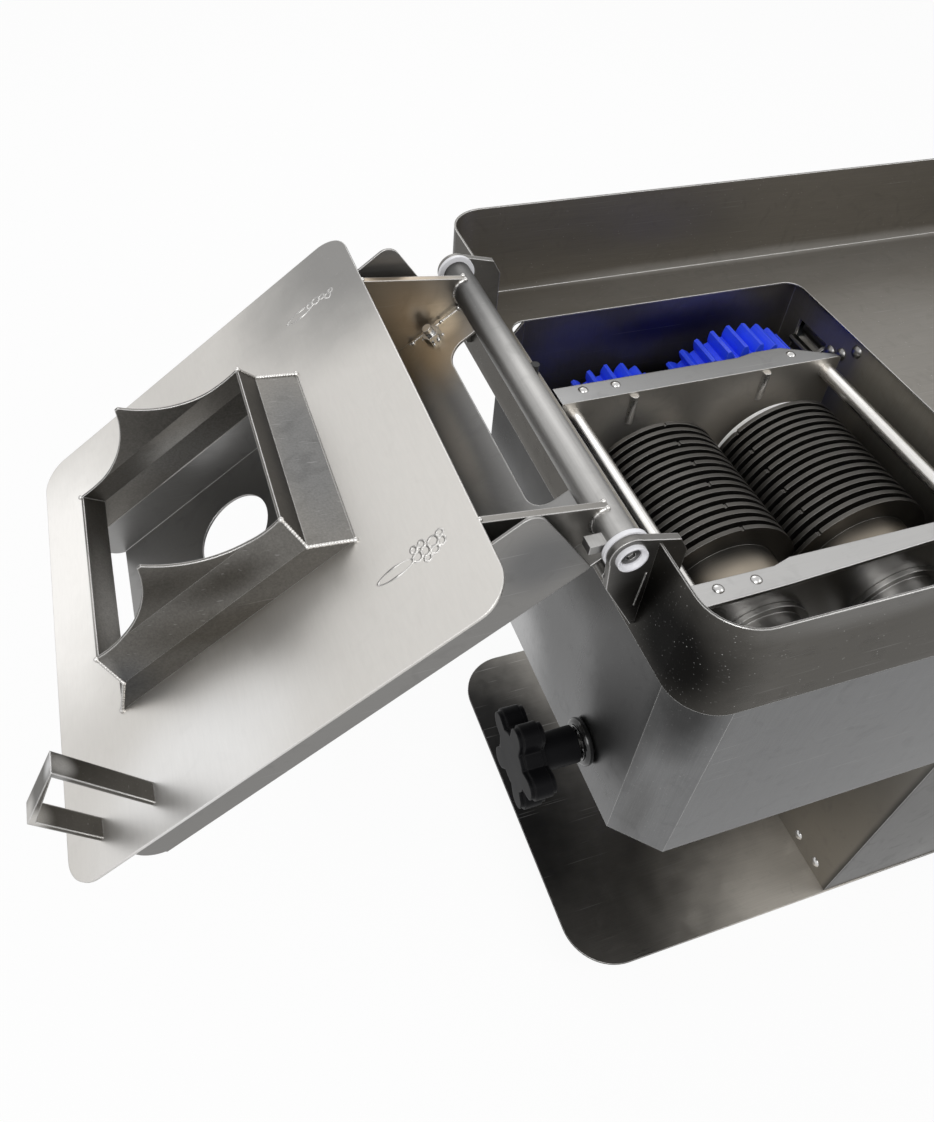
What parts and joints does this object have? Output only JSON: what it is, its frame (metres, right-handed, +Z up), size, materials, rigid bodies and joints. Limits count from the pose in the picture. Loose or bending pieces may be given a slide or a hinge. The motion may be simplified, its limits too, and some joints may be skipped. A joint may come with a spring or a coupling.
{
  "type": "electric strip slicer for meat",
  "caption": "Floor or bench standing meat strip slicer: tall housing, long tray, two interleaved cutter rollers with blue gears, a lid with a feed throat swung open, and a clamp knob.",
  "frame": {"origin": "centre of the whole bounding box on the ground, with the lid open", "axes": "+X along the long tray, away from the lid; +Y to the back, along the hinge and the cutters; +Z up"},
  "size_m": [0.9326, 0.37, 0.564],
  "materials": {
    "sheet_steel": "brushed stainless sheet",
    "lid_steel": "bright satin stainless sheet",
    "weld_steel": "satin stainless, hand finished welds",
    "cutter_steel": "ground dark steel",
    "bright_steel": "polished",
    "gear_blue": "moulded, slightly glossy",
    "bush_white": "turned plastic",
    "washer_white": "satin",
    "knob_black": "glossy moulding",
    "rubber_black": "matt",
    "bearing_grey": "satin",
    "motor_grey": "satin paint",
    "cast_grey": "fine cast, painted",
    "start_green": "glossy",
    "stop_red": "glossy"
  },
  "bodies": {
    "frame": {"base_plate": "sheet_steel", "rubber_feet": "rubber_black", "motor_housing": "sheet_steel", "rear_cover": "sheet_steel", "rear_cover_screws": "bright_steel", "housing_screws": "bright_steel", "tray": "sheet_steel", "chamber_shell": "sheet_steel", "chamber_bolts": "bright_steel", "cassette_rails": "sheet_steel", "front_ear": "weld_steel", "back_ear": "weld_steel", "lid_stops": "weld_steel", "front_bush": "bush_white", "back_bush": "bush_white", "lid_buffers": "rubber_black", "front_plate": "sheet_steel", "back_plate": "sheet_steel", "tie_rods": "bright_steel", "plate_rivets": "bright_steel", "guide_pins": "bright_steel", "stripper_combs": "weld_steel", "front_bearings": "bearing_grey", "back_bearings": "bearing_grey", "shaft_bearing": "cast_grey", "gearbox": "cast_grey", "motor": "motor_grey", "fan_cover": "motor_grey", "motor_shelf": "sheet_steel", "wall_ring": "rubber_black", "weld_nut": "bright_steel", "switch_plate": "knob_black", "cable_gland": "knob_black"},
    "lid": {"lid_plate": "lid_steel", "throat": "weld_steel", "hood": "sheet_steel", "front_gusset": "weld_steel", "back_gusset": "weld_steel", "hinge_tube": "bright_steel", "front_pivot": "bright_steel", "back_pivot": "bright_steel", "hood_stud": "bright_steel", "strap": "lid_steel"},
    "left_roller": {"left_cutter": "cutter_steel", "left_washer": "washer_white", "left_gear": "gear_blue"},
    "right_roller": {"right_cutter": "cutter_steel", "right_washer": "washer_white", "right_gear": "gear_blue"},
    "drive": {"drive_pinion": "cutter_steel", "drive_shaft": "bright_steel"},
    "clamp_pad": {"clamp_foot": "bright_steel"},
    "clamp_knob": {"star_knob": "knob_black", "clamp_screw": "bright_steel"},
    "start": {"start_button": "start_green"},
    "stop": {"stop_button": "stop_red"}
  },
  "joints": [
    {"name": "lid_hinge", "type": "hinge", "parent": "frame", "child": "lid", "pos_m": [-0.187, -0.0014, 0.537], "axis": [0, 1, 0], "range_deg": [0, 216]},
    {"name": "right_spin", "type": "hinge", "parent": "frame", "child": "right_roller", "pos_m": [0.0428, -0.0014, 0.3953], "axis": [0, 1, 0], "continuous": true},
    {"name": "left_spin", "type": "hinge", "parent": "frame", "child": "left_roller", "pos_m": [-0.0592, -0.0014, 0.3953], "axis": [0, 1, 0], "continuous": true},
    {"name": "drive_spin", "type": "hinge", "parent": "frame", "child": "drive", "pos_m": [0.12174, 0.0406, 0.42403], "axis": [0, 1, 0], "continuous": true},
    {"name": "clamp_slide", "type": "slide", "parent": "frame", "child": "clamp_pad", "axis": [1, 0, 0], "range_m": [-0.006, 0]},
    {"name": "clamp_turn", "type": "hinge", "parent": "clamp_pad", "child": "clamp_knob", "pos_m": [-0.187, -0.0904, 0.301], "axis": [1, 0, 0], "range_deg": [-1441, 0]},
    {"name": "start_press", "type": "slide", "parent": "frame", "child": "start", "axis": [0, 1, 0], "range_m": [0, 0.003], "stiffness_N_per_m": 300, "springref_m": -0.002},
    {"name": "stop_press", "type": "slide", "parent": "frame", "child": "stop", "axis": [0, 1, 0], "range_m": [0, 0.003], "stiffness_N_per_m": 300, "springref_m": -0.002}
  ],
  "couplings": [
    {"joint": "left_spin", "follows": "right_spin", "ratio": -1.4286},
    {"joint": "drive_spin", "follows": "right_spin", "ratio": -2.5},
    {"joint": "clamp_turn", "follows": "clamp_slide", "rad_per_m": 4188.8}
  ]
}
